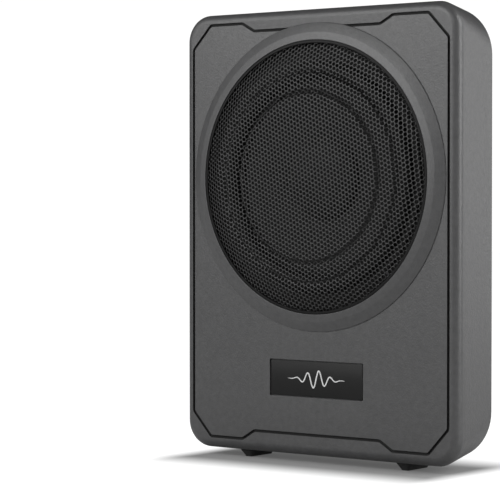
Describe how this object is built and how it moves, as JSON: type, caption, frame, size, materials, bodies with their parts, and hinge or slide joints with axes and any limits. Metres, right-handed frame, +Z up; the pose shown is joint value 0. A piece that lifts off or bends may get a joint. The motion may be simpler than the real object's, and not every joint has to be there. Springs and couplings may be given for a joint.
{
  "type": "powered car subwoofer",
  "caption": "Slim upright metal loudspeaker cabinet with a round perforated domed grille, recessed knobs on its top end and connectors in its bottom end.",
  "frame": {"origin": "on the floor plane, under the middle of the object's width and depth", "axes": "+Z up along the cabinet's length, -Y out of the grille, +X to the right seen from the grille side"},
  "size_m": [0.2564, 0.07, 0.3478],
  "materials": {
    "grey_paint": "satin textured powder coat",
    "grille_black": "satin black paint",
    "badge_black": "satin black plate",
    "basket_black": "black paint on pressed steel",
    "steel": "zinc plated",
    "black_screw": "black oxide",
    "ferrite": "matte sintered ferrite",
    "surround_rubber": "matte moulded rubber",
    "spider_cloth": "resin-stiffened woven cloth",
    "cone_paper": "matte pressed paper pulp",
    "aluminium": "bare",
    "copper": "enamelled copper wire",
    "black_plastic": "moulded, fine texture",
    "nickel": "nickel plate",
    "lamp_blue": "clear tinted lens",
    "board_green": "solder mask",
    "fuse_orange": "translucent",
    "lead_red": "insulated wire",
    "lead_black": "insulated wire",
    "foot_rubber": "matte moulded rubber"
  },
  "bodies": {
    "cabinet": {"amp_board": "board_green", "badge_plate": "badge_black", "bass_boost_pot": "black_plastic", "blade_fuse": "fuse_orange", "capacitor_1": "black_plastic", "capacitor_2": "black_plastic", "choke_coil": "copper", "connector_tray": "black_plastic", "control_board": "board_green", "control_tray": "black_plastic", "driver_basket": "basket_black", "driver_screw_1": "steel", "driver_screw_2": "steel", "driver_screw_3": "steel", "driver_screw_4": "steel", "driver_terminal": "black_plastic", "foot_left": "foot_rubber", "foot_right": "foot_rubber", "front_housing": "grey_paint", "fuse_holder": "black_plastic", "gain_pot": "black_plastic", "grille": "grille_black", "grille_ring": "grey_paint", "heat_sink": "aluminium", "lead_negative": "lead_black", "lead_positive": "lead_red", "low_pass_pot": "black_plastic", "magnet": "ferrite", "phase_switch": "steel", "power_input": "black_plastic", "power_lamp": "lamp_blue", "rca_jack_1": "nickel", "rca_jack_2": "nickel", "rear_cover": "grey_paint", "rear_screw_1": "black_screw", "rear_screw_2": "black_screw", "rear_screw_3": "black_screw", "rear_screw_4": "black_screw", "rear_screw_5": "black_screw", "rear_screw_6": "black_screw", "remote_socket": "black_plastic", "speaker_input": "black_plastic", "spider": "spider_cloth", "surround": "surround_rubber", "top_plate": "steel", "transformer": "black_plastic", "transistor_1": "black_plastic", "transistor_2": "black_plastic", "yoke": "steel"},
    "diaphragm": {"cone": "cone_paper", "dust_cap": "cone_paper", "coil_former": "aluminium", "voice_coil": "copper"},
    "gain_dial": {"gain_shaft": "nickel", "gain_knob": "black_plastic"},
    "low_pass_dial": {"low_pass_shaft": "nickel", "low_pass_knob": "black_plastic"},
    "bass_boost_dial": {"bass_boost_shaft": "nickel", "bass_boost_knob": "black_plastic"},
    "phase_key": {"phase_slider": "black_plastic"}
  },
  "joints": [
    {"name": "cone_travel", "type": "slide", "parent": "cabinet", "child": "diaphragm", "axis": [0, -1, 0], "range_m": [-0.006, 0.006], "stiffness_N_per_m": 2500, "deforming": ["surround", "spider"]},
    {"name": "gain_turn", "type": "hinge", "parent": "cabinet", "child": "gain_dial", "pos_m": [-0.052, 0.005, 0.3357], "axis": [0, 0, 1], "range_deg": [-140, 140]},
    {"name": "low_pass_turn", "type": "hinge", "parent": "cabinet", "child": "low_pass_dial", "pos_m": [-0.025, 0.005, 0.3357], "axis": [0, 0, 1], "range_deg": [-140, 140]},
    {"name": "bass_boost_turn", "type": "hinge", "parent": "cabinet", "child": "bass_boost_dial", "pos_m": [0.002, 0.005, 0.3357], "axis": [0, 0, 1], "range_deg": [-140, 140]},
    {"name": "phase_slide", "type": "slide", "parent": "cabinet", "child": "phase_key", "axis": [1, 0, 0], "range_m": [0, 0.003]}
  ]
}
